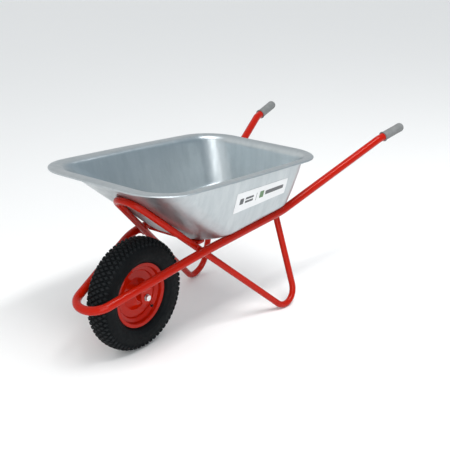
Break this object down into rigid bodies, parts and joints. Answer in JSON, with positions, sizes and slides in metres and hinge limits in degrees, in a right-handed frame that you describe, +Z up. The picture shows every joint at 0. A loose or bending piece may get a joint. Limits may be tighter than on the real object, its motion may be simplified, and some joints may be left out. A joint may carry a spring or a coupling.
{
  "type": "wheelbarrow",
  "caption": "Garden wheelbarrow with a pressed steel tray, a bent tube frame with long handles and legs, and a single pneumatic wheel.",
  "frame": {"origin": "on the ground under the middle of the barrow", "axes": "+Z up, +Y toward the handles, +X to the left of the person who pushes the barrow"},
  "size_m": [0.6746, 1.4749, 0.641],
  "materials": {
    "red_powder_coat": "glossy powder coat",
    "galvanised_steel": "hot-dip galvanised, semi-matte",
    "zinc_fasteners": "bright zinc plate",
    "bare_steel": "ground steel",
    "tyre_rubber": "matte rubber",
    "tube_rubber": "matte butyl rubber",
    "grey_plastic": "satin",
    "white_label": "printed film"
  },
  "bodies": {
    "frame": {"main_frame_tube": "red_powder_coat", "leg_hoop_tube": "red_powder_coat", "front_cross_strap": "red_powder_coat", "rear_cross_strap": "red_powder_coat", "axle_bracket_left": "red_powder_coat", "axle_bracket_right": "red_powder_coat", "strut_stub_left": "red_powder_coat", "strut_stub_right": "red_powder_coat", "tray": "galvanised_steel", "hoop_bolt": "zinc_fasteners", "hoop_insert": "zinc_fasteners", "axle_bolt": "zinc_fasteners", "axle_nut": "zinc_fasteners", "tray_bolt_1": "zinc_fasteners", "tray_bolt_2": "zinc_fasteners", "tray_bolt_3": "zinc_fasteners", "tray_bolt_4": "zinc_fasteners", "tray_washer_1": "zinc_fasteners", "tray_washer_2": "zinc_fasteners", "tray_washer_3": "zinc_fasteners", "tray_washer_4": "zinc_fasteners", "tray_nut_1": "zinc_fasteners", "tray_nut_2": "zinc_fasteners", "tray_nut_3": "zinc_fasteners", "tray_nut_4": "zinc_fasteners", "axle_spacer_middle": "bare_steel", "bearing_inner_ring_left": "bare_steel", "bearing_inner_ring_right": "bare_steel", "axle_spacer_left": "bare_steel", "axle_spacer_right": "bare_steel", "axle_washer_left": "bare_steel", "axle_washer_right": "bare_steel", "grip_left": "grey_plastic", "grip_right": "grey_plastic", "side_label": "white_label"},
    "wheel": {"tyre": "tyre_rubber", "inner_tube": "tube_rubber", "rim_half_left": "red_powder_coat", "rim_half_right": "red_powder_coat", "hub_tube": "red_powder_coat", "bearing_outer_ring_left": "bare_steel", "bearing_outer_ring_right": "bare_steel", "bearing_ball_cage_left": "bare_steel", "bearing_ball_cage_right": "bare_steel", "valve_stem": "bare_steel", "valve_cap": "tube_rubber"}
  },
  "joints": [
    {"name": "wheel_spin", "type": "hinge", "parent": "frame", "child": "wheel", "pos_m": [0, -0.4884, 0.2], "axis": [1, 0, 0], "continuous": true}
  ]
}
